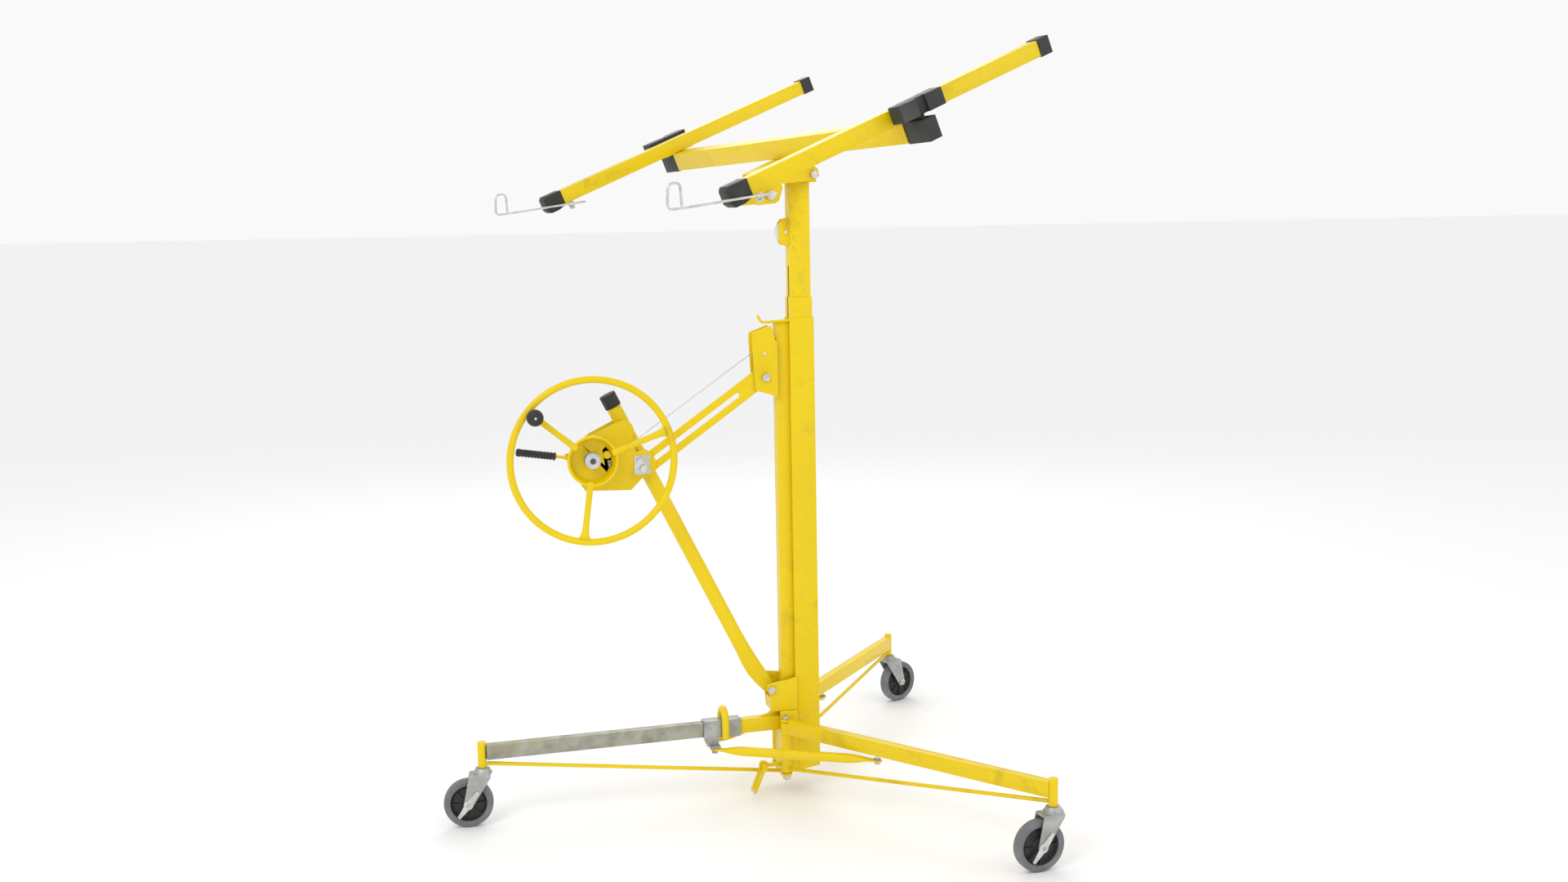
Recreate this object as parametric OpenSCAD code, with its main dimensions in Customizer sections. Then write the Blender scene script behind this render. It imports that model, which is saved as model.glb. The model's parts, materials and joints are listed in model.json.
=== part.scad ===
// Drywall lift: telescoping mast on a folding three-leg base, hand winch on a
// diagonal post, and a cradle that swivels, tilts and slides out two outriggers.
// The origin is on the floor below the middle of the outline; +X points from the
// winch side to the back, +Z is up. Most parts are placed from the mast's axis.

/* [Placement] */
// Distance of the mast's axis from the origin along X
mast_x = 214.7; // [208:0.1:222]
// Distance of the mast's axis from the origin along Y
mast_y = 6; // [0:1:12]

/* [Mast] */
// Height of the top of the fixed section
outer_top = 1272; // [1200:1:1280]
// Height of the top of the second section
second_top = 1325; // [1305:1:1340]
// Height of the top of the third section
third_top = 1618; // [1600:1:1630]
// Wall thickness of the mast sections
mast_wall = 2.5; // [2:0.5:2.5]

/* [Base] */
// Height of the centre of the leg tubes
leg_z = 192.5; // [191:0.5:194]
// Height of a leg tube
leg_h = 38; // [34:1:38]
// Width of a leg tube
leg_w = 25; // [22:1:26]
// Distance from the fold pivot to the caster stem
leg_reach = 811; // [790:1:830]
// Angle of the unfolded left leg from the X axis
left_leg_angle = -53.3; // [-56:0.1:-50]
// Angle of the unfolded right leg from the X axis
right_leg_angle = 50.8; // [48:0.1:54]
// Distance from the mast's axis to the fixed leg's caster stem
fixed_reach = 867; // [860:1:880]

/* [Casters] */
// Caster wheel diameter
wheel_d = 125; // [115:1:125]
// Caster trail, from the stem to the wheel's axle
trail = 38; // [30:1:42]
// Tread width
tread_w = 27; // [24:1:30]

/* [Winch] */
// Outer diameter of the steering wheel
steer_d = 427; // [400:1:440]
// Diameter of the steering wheel's rim tube
rim_d = 18; // [14:1:20]
// Diameter of the winch post
post_d = 38; // [34:1:38]

/* [Cradle] */
// Swivel of the cradle at rest
swivel = 13.8; // [0:0.1:30]
// Tilt of the cradle at rest
tilt = 22.5; // [10:0.1:30]
// Side of the square cross-arm tube
arm_s = 38; // [34:1:40]
// Length of a painted cross-arm
arm_l = 817; // [780:1:840]
// Distance between the two cross-arms
arm_gap = 1163; // [1140:1:1180]
// Angle by which the main beam stands off square to the arms
beam_skew = 2.9; // [0:0.1:3]

/* [Hidden] */
$fn = 48;
fit = 0.08;
yellow = "gold";
steel = "silver";
zinc = "darkgray";
black = [0.15, 0.15, 0.15];

// Mast sections, each a channel open towards the winch: [low x, high x, half depth]
outer_box = [-37, 28, 30];
second_box = [-34, 25, 27];
third_box = [-31, 22, 24];
channel_face = -72;
channel_half = 18;
channel_top = 1262;
third_slot_top = 1405;
head_pulley_at = [-39, 1492];
mast_foot = 50;
slot_w = 14;

// Base: hub, fold pivots and legs
pivot = [-71, 53];
pivot_bolt_r = 6;
cheek = [30, 35];
hub_x = [-80, -34];
hub_z = [67, 228];
lug_t = 6;
lug_r = 15;
lug_top_z = 205;
lug_low_z = 58;
barrel_r = 13;
barrel_z = [66, 203];
leg_low = leg_z - leg_h / 2;
leg_top = leg_z + leg_h / 2;
stay_r = 5;
stay_in_z = 76;
stay_out_z = 162;
stem_z = 153;
stem_top = 220;
left_stem = [pivot[0] + leg_reach * cos(left_leg_angle), -pivot[1] + leg_reach * sin(left_leg_angle)];
right_stem = [pivot[0] + leg_reach * cos(right_leg_angle), pivot[1] + leg_reach * sin(right_leg_angle)];

// Fixed leg, drawn along +X of a frame of its own
fixed_y = -5;
fixed_angle = 182.3;
fixed_in = 81;
stub_end = 190;
fixed_stem = [fixed_reach * cos(fixed_angle), fixed_y + fixed_reach * sin(fixed_angle)];

// Collar and links
collar_x = 239;
collar_l = 100;
collar_pin = [264, 29];
collar_gap = 0.5;
collar_wall = 4;
link_pin_r = 5;
link_reach = 300;
link_in_z = 144;
link_out_z = 158;
link_d = 24;

// Foot latch
latch_at = [-130, 84];
latch_r = 8;

// Casters: swivel direction at rest of the fixed, left and right one
caster_turn = [175.6, 186.7, 23.5];
caster_stems = [fixed_stem, left_stem, right_stem];
fork_y = 19;
fork_t = 2.5;
axle_r = 5;

// Winch, as points [x, z] in the plane of the post
post_pin = [-104, 288];
post_pin_r = 7;
post_low = [-150, 350];
post_top = [-509, 1083];
wheel_at = [-566.4, 936.2];
wheel_y = -109;
clamp_at = [-432, 910];
lobe_at = [-476, 1002];
spacer_at = [-468, 1000];
brace_in = [-102, 1130];
brace_out = [-431, 900];
brace_pivot = [-104, 1121];
brace_y = [-29, -23.5];
bracket_near = [-35, -31];
bracket_far = [8, 12];
guide_at = [-106, 1182];
guide_r = 19;
guide_y = -8;
groove_r = 15;
cable_r = 1.5;
plate_near = [-34.5, -30.5];
plate_far = [19, 22.5];
spoke_angles = [20, 140, 262];
hub_r = 64;
shaft_r = 10;
drum_r = 31.5;
flange_r = 45;
flange_t = 2;
drum_y = [-67, -37];
lever_y = [-76, -72];
lever_rod_y = -92;
lever_angle = 171;
roller_angle = 15;
roller_at = 42.5;
dish_depth = 36;

// Cradle, from the tilt bolt's axis
pivot_x = 20;
pivot_z = 1637;
tilt_bolt_r = 6;
head_half = 45;
head_t = 4;
latch_pin_at = [-140, 0, 2];
beam = [38, 50];
beam_x = -32;
beam_z = 90;
beam_half = 577;
arm_z = beam_z + beam[1] / 2 + 2 + arm_s / 2;
arm_x = [-439, -439 + arm_l];
arm_y = arm_gap / 2;
boot_l = 55;
cap_l = 34;
hook_d = 6;
hook_x = -417;
rest_top = arm_z - beam_z + arm_s / 2 + 8;

// ---- placing helpers ----

module on_mast() {
    translate([mast_x, mast_y, 0]) children();
}

// Frame of the swivelling turret
module in_turret() {
    on_mast() rotate([0, 0, swivel]) children();
}

// Frame of the tilting cradle: X along the arms, origin on the tilt bolt
module in_cradle() {
    in_turret() translate([pivot_x, 0, pivot_z]) rotate([0, -tilt, 0]) children();
}

// Frame of the main beam: Y along it, origin on its centre line
module in_beam() {
    in_cradle() translate([beam_x, 0, beam_z]) rotate([0, 0, beam_skew]) children();
}

// Places something drawn along +X between two points of the XZ plane
module between(a, b) {
    translate([a[0], 0, a[1]]) rotate([0, -atan2(b[1] - a[1], b[0] - a[0]), 0]) children();
}

// Cylinder along Y, from one Y to another
module y_cyl(at, r, y0, y1) {
    translate([at[0], y1, at[1]]) rotate([90, 0, 0]) cylinder(r = r, h = y1 - y0);
}

// Plate drawn as a polygon of [x, z] points, from one Y to another
module xz_plate(y0, y1) {
    translate([0, y1, 0]) rotate([90, 0, 0]) linear_extrude(y1 - y0) children();
}

// Frame of the fixed leg: X outward along the tube
module in_fixed_leg() {
    on_mast() translate([0, fixed_y, 0]) rotate([0, 0, fixed_angle]) children();
}

// Round bar along a list of points, with a ball at each bend
module bent_rod(points, r, bulge = 0.6) {
    for (i = [0 : len(points) - 2]) rod_between(points[i], points[i + 1], r);
    for (i = [1 : 1 : len(points) - 2]) translate(points[i]) sphere(r = r + bulge);
}

module rod_between(a, b, r) {
    d = b - a;
    turn = atan2(d[1], d[0]);
    lean = atan2(norm([d[0], d[1]]), d[2]);
    translate(a) rotate([0, lean, turn]) cylinder(r = r, h = norm(d));
}

module hex_head(af, h) {
    cylinder(r = af / sqrt(3), h = h, $fn = 6);
}

// ---- mast ----

// Folded box section with a slot on the winch side, up to a given height
module channel(box, low, high, slot, slot_top) {
    x0 = box[0];
    x1 = box[1];
    half = box[2];
    difference() {
        translate([x0, -half, low]) cube([x1 - x0, 2 * half, high - low]);
        translate([x0 + mast_wall, mast_wall - half, low - 1])
            cube([x1 - x0 - 2 * mast_wall, 2 * (half - mast_wall), high - low + 2]);
        translate([x0 - 1, -slot / 2, low - 1]) cube([mast_wall + 2, slot, slot_top - low + 1]);
    }
}

module outer_mast() {
    color(yellow) on_mast() difference() {
        channel(outer_box, mast_foot, outer_top, 30, outer_top + 1);
        // foot cut at a slant
        xz_plate(-40, 40) polygon([[-40, 40], [30, 40], [30, 68], [-40, 57]]);
    }
}

module cable_channel() {
    x1 = outer_box[0];
    color(yellow) on_mast() difference() {
        translate([channel_face, -channel_half, hub_z[0]])
            cube([x1 - channel_face, 2 * channel_half, channel_top - hub_z[0]]);
        translate([channel_face + mast_wall, mast_wall - channel_half, hub_z[0] - 1])
            cube([x1 - channel_face, 2 * (channel_half - mast_wall), channel_top]);
        // mouth where the cable comes in over the guide pulley
        translate([channel_face - 1, guide_y - 6, guide_at[1] - 12]) cube([mast_wall + 2, 12, 50]);
    }
}

module second_mast() {
    color(yellow) on_mast() channel(second_box, mast_foot + 20, second_top, slot_w, second_top + 1);
}

module third_mast() {
    plug_h = 45;
    low = head_pulley_at[1] - 36;
    high = head_pulley_at[1] + 37;
    color(yellow) on_mast() {
        difference() {
            channel(third_box, mast_foot + 26, third_top, slot_w, third_slot_top);
            translate([third_box[0] - 1, -8, low + 3]) cube([mast_wall + 2, 16, high - low - 6]);
        }
        // socket block that takes the turret's spigot
        difference() {
            translate([third_box[0] + 1, 1 - third_box[2], third_top - plug_h - 1])
                cube([third_box[1] - third_box[0] - 2, 2 * third_box[2] - 2, plug_h]);
            translate([0, 0, third_top - plug_h - 2]) cylinder(r = 15 + fit, h = plug_h + 2);
        }
        // bent housing of the head pulley
        for (y = [-13, 10]) difference() {
            xz_plate(y, y + 3) polygon([[-31, low], [-49, low + 4], [-57, low + 15], [-57, high - 15],
                [-49, high - 4], [-31, high]]);
            y_cyl(head_pulley_at, 4 + fit, y - 1, y + 4);
        }
    }
}

module head_pulley() {
    color("gainsboro") on_mast() {
        y_cyl(head_pulley_at, 27, -5.5, -3.5);
        y_cyl(head_pulley_at, 27, 3.5, 5.5);
        y_cyl(head_pulley_at, 22, -5.5, 5.5);
        y_cyl(head_pulley_at, 4, -16, 16);
    }
}

// ---- bracket, brace and cable ----

module brace_bracket() {
    outline = [[-138, 1215], [-137, 1236], [-88, 1254], [-76, 1213], [-72, 1213], [-72, 1071],
        [-78, 1071], [-132, 1088]];
    color(yellow) on_mast() {
        for (y = [bracket_near, bracket_far]) difference() {
            xz_plate(y[0], y[1]) polygon(outline);
            y_cyl(guide_at, 4 + fit, y[0] - 1, y[1] + 1);
            y_cyl(brace_pivot, 6 + fit, y[0] - 1, y[1] + 1);
        }
        difference() {
            translate([channel_face - 4, bracket_near[0], 1071])
                cube([4, bracket_far[1] - bracket_near[0], 142]);
            translate([channel_face - 5, guide_y - 6, guide_at[1] - 12]) cube([6, 12, 50]);
        }
    }
}

module guide_pulley() {
    color("gainsboro") on_mast() {
        y_cyl(guide_at, guide_r, guide_y - 5.3, guide_y - 3);
        y_cyl(guide_at, guide_r, guide_y + 3, guide_y + 5.3);
        y_cyl(guide_at, groove_r, guide_y - 5.3, guide_y + 5.3);
        y_cyl(guide_at, 4, bracket_near[0] - 3, bracket_far[1] + 3);
    }
}

module slotted_brace() {
    len = norm(brace_out - brace_in);
    color(yellow) on_mast() difference() {
        between(brace_in, brace_out) translate([0, brace_y[1], 0]) rotate([90, 0, 0])
            linear_extrude(brace_y[1] - brace_y[0]) difference() {
                union() {
                    translate([-10, -24.5]) square([len + 10, 49]);
                    translate([len, 0]) circle(r = 24.5);
                }
                hull() {
                    translate([94, 0]) circle(r = 6.5);
                    translate([len - 4, 0]) circle(r = 6.5);
                }
            }
        y_cyl(brace_pivot, 6 + fit, -40, 0);
    }
}

module carry_hook() {
    y = -24;
    color(yellow) on_mast() {
        bent_rod([[outer_box[0], y, 1266], [-112, y, 1262], [-121, y, 1281]], 3.5, 0.8);
        translate([channel_face - 8, -channel_half, channel_top])
            cube([outer_box[0] - channel_face + 8, 2 * channel_half, 3]);
    }
}

module lift_cable() {
    // crossed tangent from the underside of the drum to the top of the guide pulley
    run = guide_at - wheel_at;
    reach = drum_r + groove_r + 2 * cable_r;
    angle = atan2(run[1], run[0]) + asin(reach / norm(run));
    up = [-sin(angle), cos(angle)];
    from = wheel_at - up * (drum_r + cable_r);
    to = guide_at + up * (groove_r + cable_r);
    color(steel) on_mast()
        rod_between([from[0], (drum_y[0] + drum_y[1]) / 2, from[1]], [to[0], guide_y, to[1]], cable_r - 0.1);
}

// ---- base ----

module leg_hub() {
    color(yellow) on_mast() {
        translate([hub_x[0], -cheek[1], hub_z[0] - 18]) cube([4, 2 * cheek[1], hub_z[1] - hub_z[0] + 18]);
        for (s = [-1, 1]) {
            translate([hub_x[0], s > 0 ? cheek[0] : -cheek[1], lug_low_z])
                cube([hub_x[1] - hub_x[0], cheek[1] - cheek[0], hub_z[1] - lug_low_z]);
            for (z = [lug_top_z, lug_low_z]) difference() {
                union() {
                    translate([pivot[0], s * pivot[1], z]) cylinder(r = lug_r, h = lug_t);
                    translate([pivot[0] - 9, s > 0 ? cheek[0] : -pivot[1], z])
                        cube([23, pivot[1] - cheek[0], lug_t]);
                }
                translate([pivot[0], s * pivot[1], z - 1]) cylinder(r = pivot_bolt_r, h = lug_t + 2);
            }
        }
        // arm and eye that carry the foot latch
        difference() {
            union() {
                translate([latch_at[0], -40, latch_at[1] - 5]) cube([hub_x[0] - latch_at[0], 5, 10]);
                y_cyl(latch_at, latch_r + 5, -40, -35);
                translate([hub_x[0] - 6, -40, latch_at[1] - 5]) cube([6.5, 6, 10]);
            }
            y_cyl(latch_at, latch_r + fit, -50, -30);
        }
    }
}

module post_bracket() {
    near = [[-105, 229], [-34, 229], [-33, 319], [-62, 312], [-96, 307], [-113, 303], [-117, 290], [-108, 271]];
    far = [[-105, 229], [-34, 229], [-33, 319], [-60, 318], [-118, 325], [-122, 300], [-108, 271]];
    color(yellow) on_mast() {
        difference() {
            xz_plate(-cheek[1], -cheek[0]) polygon(near);
            y_cyl(post_pin, post_pin_r, -40, 0);
        }
        difference() {
            xz_plate(cheek[0], cheek[1]) polygon(far);
            y_cyl(post_pin, post_pin_r, 0, 40);
        }
        translate([-105, -cheek[0], 229]) cube([4, 2 * cheek[0], 33]);
    }
}

module frame_bolts() {
    color(steel) on_mast() {
        for (s = [-1, 1]) translate([pivot[0], s * pivot[1], 0]) {
            translate([0, 0, 44]) cylinder(r = pivot_bolt_r, h = 174);
            translate([0, 0, lug_top_z + lug_t]) hex_head(19, 8);
            translate([0, 0, lug_low_z - 10]) hex_head(19, 10);
        }
        y_cyl(post_pin, post_pin_r, -cheek[1] - 3, cheek[1] + 3);
        y_cyl(brace_pivot, 6, bracket_near[0] - 3, bracket_far[1] + 3);
        for (end = [[post_pin, -cheek[1]], [post_pin, cheek[1] + 8],
            [brace_pivot, bracket_near[0]], [brace_pivot, bracket_far[1] + 8]])
            translate([end[0][0], end[1], end[0][1]]) rotate([90, 0, 0]) hex_head(19, 8);
    }
}

module fixed_leg_stub() {
    color(yellow) in_fixed_leg() {
        translate([fixed_in, -leg_w / 2, leg_low]) cube([stub_end - fixed_in, leg_w, leg_h]);
        xz_plate(-4, 4) polygon([[fixed_in, leg_top - 1], [fixed_in + 62, leg_top - 1],
            [fixed_in + 28, leg_top + 7], [fixed_in + 12, 234], [fixed_in, 234]]);
    }
}

module fixed_leg_tube() {
    start = stub_end + 0.3;
    end = fixed_reach - 11.2;
    color(zinc) in_fixed_leg() difference() {
        translate([start, -leg_w / 2, leg_low]) cube([end - start, leg_w, leg_h]);
        translate([start - 1, 2 - leg_w / 2, leg_low + 2]) cube([end - start + 2, leg_w - 4, leg_h - 4]);
    }
}

module fixed_leg_post() {
    color(yellow) in_fixed_leg() translate([fixed_reach, 0, stem_z]) leg_post();
}

module leg_post() {
    cylinder(r = 11, h = stem_top - stem_z);
}

module fixed_leg_stay() {
    color(yellow) in_fixed_leg()
        rod_between([fixed_reach - 11.8, 0, stay_out_z], [fixed_in + 0.8, 0, hub_z[0] - 11], stay_r);
}

// Folding leg drawn along +X from its pivot
module leg() {
    tube_in = 17;
    difference() {
        union() {
            translate([tube_in, -leg_w / 2, leg_low]) cube([leg_reach - 6 - tube_in, leg_w, leg_h]);
            translate([6, -10, leg_low]) cube([14, 20, barrel_z[1] - leg_low]);
            translate([0, 0, barrel_z[0]]) cylinder(r = barrel_r, h = barrel_z[1] - barrel_z[0]);
            translate([leg_reach, 0, stem_z]) leg_post();
        }
        translate([0, 0, barrel_z[0] - 1]) cylinder(r = pivot_bolt_r + fit, h = 200);
        translate([tube_in + 3, 2 - leg_w / 2, leg_low + 2]) cube([leg_reach - tube_in - 30, leg_w - 4, leg_h - 4]);
    }
}

// Stay rod under a folding leg
module stay() {
    rod_between([barrel_r + 1, 0, stay_in_z], [leg_reach - 11.8, 0, stay_out_z], stay_r);
}

module at_left_pivot() {
    on_mast() translate([pivot[0], -pivot[1], 0]) rotate([0, 0, left_leg_angle]) children();
}

module at_right_pivot() {
    on_mast() translate([pivot[0], pivot[1], 0]) rotate([0, 0, right_leg_angle]) children();
}

module left_leg() {
    color(yellow) at_left_pivot() leg();
}

module left_leg_stay() {
    color(yellow) at_left_pivot() stay();
}

module right_leg() {
    color(yellow) at_right_pivot() leg();
}

module right_leg_stay() {
    color(yellow) at_right_pivot() stay();
}

// Sleeve that slides along the fixed leg and carries the pins of both links
module slide_collar() {
    half = leg_w / 2 + collar_gap;
    low = leg_low - collar_gap;
    color(zinc) in_fixed_leg() {
        difference() {
            translate([collar_x - collar_l / 2, -half - collar_wall, low - collar_wall])
                cube([collar_l, 2 * (half + collar_wall), leg_h + 2 * (collar_gap + collar_wall)]);
            translate([collar_x - collar_l, -half, low]) cube([2 * collar_l, 2 * half, leg_h + 2 * collar_gap]);
        }
        // two lugs with room between them for the stay rod
        for (s = [0, 1]) mirror([0, s, 0]) translate([collar_pin[0] - 14, 8.5, link_in_z + 4]) {
            cube([28, 9, low - collar_wall - link_in_z - 4]);
            cube([28, collar_pin[1] + 0.5, 5.5]);
        }
        for (s = [-1, 1]) translate([collar_pin[0], s * collar_pin[1], 0]) {
            translate([0, 0, link_in_z - 10]) cylinder(r = link_pin_r, h = 18);
            translate([0, 0, link_in_z - 10]) hex_head(15, 6.5);
        }
    }
}

module collar_handle() {
    r = 9.5;
    outer = leg_w / 2 + collar_gap + collar_wall;
    top = leg_low + leg_h + collar_gap + collar_wall;
    foot = 166;
    // pressed 0.6 mm into the sleeve's sides, with the sleeve's own room cut away
    w = outer + r - 0.6;
    color(yellow) in_fixed_leg() translate([collar_x - 6, 0, 0]) {
        translate([0, 0, top]) rotate([90, 0, 90]) rotate_extrude(angle = 180) translate([w, 0]) circle(r = r);
        difference() {
            for (s = [-1, 1]) translate([0, s * w, foot]) cylinder(r = r, h = top - foot);
            translate([-collar_l / 2, -outer, foot - 1]) cube([collar_l, 2 * outer, top - foot + 2]);
        }
    }
}

// Link rod with flattened ends, drawn along +X between its pins; the far pin reaches up to the leg
module link(len) {
    flat = 6;
    tube_in = 28;
    difference() {
        union() {
            rod_between([tube_in, 0, link_in_z + 1], [len - tube_in, 0, link_out_z - 1], link_d / 2);
            translate([0, 0, link_in_z - flat / 2]) cylinder(r = 12, h = flat);
            translate([len, 0, link_out_z - flat / 2]) cylinder(r = 12, h = flat);
            translate([0, -10, link_in_z - flat / 2]) cube([tube_in + 4, 20, flat]);
            translate([len - tube_in - 4, -10, link_out_z - flat / 2]) cube([tube_in + 4, 20, flat]);
            translate([len, 0, link_out_z]) cylinder(r = link_pin_r, h = leg_low - 0.3 - link_out_z);
            translate([len, 0, link_out_z - flat / 2 - 6]) hex_head(15, 6.5);
        }
        translate([0, 0, link_in_z - 20]) cylinder(r = link_pin_r + fit, h = 40);
    }
}

// Pins on the leg and on the collar, for the left (-1) and the right (1) side
function leg_pin(s) = s < 0
    ? [pivot[0] + link_reach * cos(left_leg_angle), -pivot[1] + link_reach * sin(left_leg_angle)]
    : [pivot[0] + link_reach * cos(right_leg_angle), pivot[1] + link_reach * sin(right_leg_angle)];
function collar_end(s) = [
    collar_pin[0] * cos(fixed_angle) + s * collar_pin[1] * sin(fixed_angle),
    fixed_y + collar_pin[0] * sin(fixed_angle) - s * collar_pin[1] * cos(fixed_angle)
];

module placed_link(s) {
    d = leg_pin(s) - collar_end(s);
    on_mast() translate([collar_end(s)[0], collar_end(s)[1], 0]) rotate([0, 0, atan2(d[1], d[0])])
        link(norm(d));
}

module left_link() {
    color(yellow) placed_link(-1);
}

module right_link() {
    color(yellow) placed_link(1);
}

module leg_latch() {
    color(yellow) on_mast() {
        y_cyl(latch_at, latch_r, -58, -18);
        for (y = [-52, -24]) rod_between([latch_at[0], y, latch_at[1]], [latch_at[0] - 28, y, latch_at[1] - 66], 5);
    }
}

// ---- casters ----

module at_caster(i) {
    on_mast() translate([caster_stems[i][0], caster_stems[i][1], 0]) rotate([0, 0, caster_turn[i]]) children();
}

module caster_fork() {
    axle_z = wheel_d / 2;
    difference() {
        union() {
            for (s = [-1, 1]) xz_plate(s > 0 ? fork_y : -fork_y - fork_t, s > 0 ? fork_y + fork_t : -fork_y)
                hull() {
                    translate([trail, axle_z]) circle(r = 12, $fn = 32);
                    translate([-20, 130]) square([54, 8]);
                }
            translate([-20, -fork_y - fork_t, 132]) cube([54, 2 * (fork_y + fork_t), 6]);
            translate([0, 0, 138]) cylinder(r1 = 25, r2 = 17, h = stem_z - 138.3);
            y_cyl([trail, axle_z], axle_r, -fork_y - 8, fork_y + 8);
        }
        translate([0, 0, 120]) cylinder(r = 5, h = 20);
    }
}

module caster_wheel() {
    axle_z = wheel_d / 2;
    difference() {
        union() {
            y_cyl([trail, axle_z], wheel_d / 2, -tread_w / 2 + 3, tread_w / 2 - 3);
            y_cyl([trail, axle_z], wheel_d / 2 - 4, -tread_w / 2, tread_w / 2);
            y_cyl([trail, axle_z], 14, -fork_y + 1, fork_y - 1);
        }
        y_cyl([trail, axle_z], axle_r + fit, -30, 30);
        for (s = [-1, 1]) translate([trail, s * tread_w / 2, axle_z]) rotate([90, 0, 0])
            difference() {
                cylinder(r = wheel_d / 2 - 17, h = 8, center = true);
                cylinder(r = 20, h = 10, center = true);
            }
    }
}

// Pressed lever with two wings on the axle's outer end
module caster_brake() {
    axle_z = wheel_d / 2;
    difference() {
        translate([trail, -fork_y - fork_t - 0.4, axle_z]) rotate([90, 52, 0]) linear_extrude(3) union() {
            circle(r = 12);
            polygon([[-42, -4], [0, -9], [42, -4], [42, 4], [0, 9], [-42, 4]]);
        }
        y_cyl([trail, axle_z], axle_r + fit, -40, 0);
    }
}

module fixed_caster_fork() {
    color(zinc) at_caster(0) caster_fork();
}

module left_caster_fork() {
    color(zinc) at_caster(1) caster_fork();
}

module right_caster_fork() {
    color(zinc) at_caster(2) caster_fork();
}

module fixed_caster_wheel() {
    color("dimgray") at_caster(0) caster_wheel();
}

module left_caster_wheel() {
    color("dimgray") at_caster(1) caster_wheel();
}

module right_caster_wheel() {
    color("dimgray") at_caster(2) caster_wheel();
}

module fixed_caster_brake() {
    color(steel) at_caster(0) mirror([0, 1, 0]) caster_brake();
}

module left_caster_brake() {
    color(steel) at_caster(1) mirror([0, 1, 0]) caster_brake();
}

// ---- winch ----

module winch_post() {
    len = norm(post_top - post_low);
    color(yellow) on_mast() {
        between(post_low, post_top) rotate([0, 90, 0]) difference() {
            cylinder(r = post_d / 2, h = len);
            translate([0, 0, 30]) cylinder(r = post_d / 2 - 2.5, h = len);
        }
        // flattened foot around the pin
        difference() {
            xz_plate(-6, 6) hull() {
                translate(post_pin) circle(r = 16, $fn = 32);
                translate(post_low + [-4, 8]) circle(r = 18, $fn = 32);
            }
            y_cyl(post_pin, post_pin_r + fit, -40, 40);
        }
    }
}

module post_cap() {
    color(black) on_mast() between(post_top, 2 * post_top - post_low) rotate([0, 90, 0]) difference() {
        translate([0, 0, -28]) cylinder(r = post_d / 2 + 2.5, h = 36);
        translate([0, 0, -30]) cylinder(r = post_d / 2, h = 30);
    }
}

module winch_frame() {
    outline = [[-580, 850], [-462, 846], [-436, 872], [-456, 1000], [-490, 1024], [-560, 990], [-594, 962],
        [-600, 905]];
    color(yellow) on_mast() {
        for (y = [plate_near, plate_far]) difference() {
            xz_plate(y[0], y[1]) {
                polygon(outline);
                translate(clamp_at) circle(r = 36);
                translate(lobe_at) circle(r = 24);
            }
            y_cyl(wheel_at, shaft_r + fit, y[0] - 1, y[1] + 1);
        }
        // web that closes the frame below the shaft, and the spacer on the post
        translate([-578, plate_near[1] - 1, 850]) cube([106, plate_far[0] - plate_near[1] + 2, 3]);
        y_cyl(spacer_at, 12, plate_near[1] - 1, -post_d / 2 - 0.1);
    }
}

module brace_clamp() {
    y = plate_near[0];
    color(steel) on_mast() {
        translate([clamp_at[0] - 21, y - 3, clamp_at[1] - 25]) cube([42, 3, 50]);
        for (d = [[-4, 12], [3, -10]]) translate([clamp_at[0] + d[0], y - 3, clamp_at[1] + d[1]])
            rotate([90, 0, 0]) hex_head(19, 9);
    }
}

module steering_wheel() {
    ring_r = (steer_d - rim_d) / 2;
    color(yellow) on_mast() translate([wheel_at[0], wheel_y, wheel_at[1]]) rotate([90, 0, 0]) {
        rotate_extrude($fn = 96) translate([ring_r, 0]) circle(r = rim_d / 2, $fn = 32);
        for (a = spoke_angles) rotate([0, 0, a]) translate([hub_r + 0.3, 0, 0]) rotate([0, 90, 0])
            cylinder(r = 5.2, h = ring_r - hub_r);
    }
}

// Dished brake housing, open towards the operator
module wheel_hub() {
    d = dish_depth;
    color(yellow) on_mast() translate([wheel_at[0], wheel_y - 6, wheel_at[1]]) rotate([-90, 0, 0])
        difference() {
            rotate_extrude($fn = 96) polygon([[shaft_r, d], [shaft_r, d - 5], [50, d - 5], [58, 2], [hub_r - 2, 0],
                [hub_r, 2], [hub_r, 10], [61, 14], [54, d]]);
            // curved slot for the brake roller
            translate([0, 0, d - 10]) rotate([0, 0, -40]) rotate_extrude(angle = 75)
                translate([roller_at - 4.5, 0]) square([9, 20]);
        }
}

module cable_drum() {
    color(zinc) on_mast() {
        y_cyl(wheel_at, shaft_r, wheel_y - 3, plate_far[1] + 4);
        y_cyl(wheel_at, 15, plate_far[1] + 0.5, plate_far[1] + 8);
        y_cyl(wheel_at, drum_r, drum_y[0], drum_y[1]);
        y_cyl(wheel_at, flange_r, drum_y[0], drum_y[0] + flange_t);
        y_cyl(wheel_at, flange_r, drum_y[1] - flange_t, drum_y[1]);
        // washer in the bottom of the dish
        y_cyl(wheel_at, 20, wheel_y - 6 + dish_depth - 8, wheel_y - 6 + dish_depth - 5);
    }
}

function knob_at() = wheel_at + 186 * [cos(140), sin(140)];

module wheel_knob() {
    color(black) on_mast() translate([knob_at()[0], wheel_y - 6, knob_at()[1]]) rotate([90, 0, 0]) {
        cylinder(r = 9, h = 6);
        translate([0, 0, 6]) cylinder(r = 21, h = 40);
        translate([0, 0, 46]) cylinder(r1 = 21, r2 = 15, h = 8);
    }
}

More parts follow.
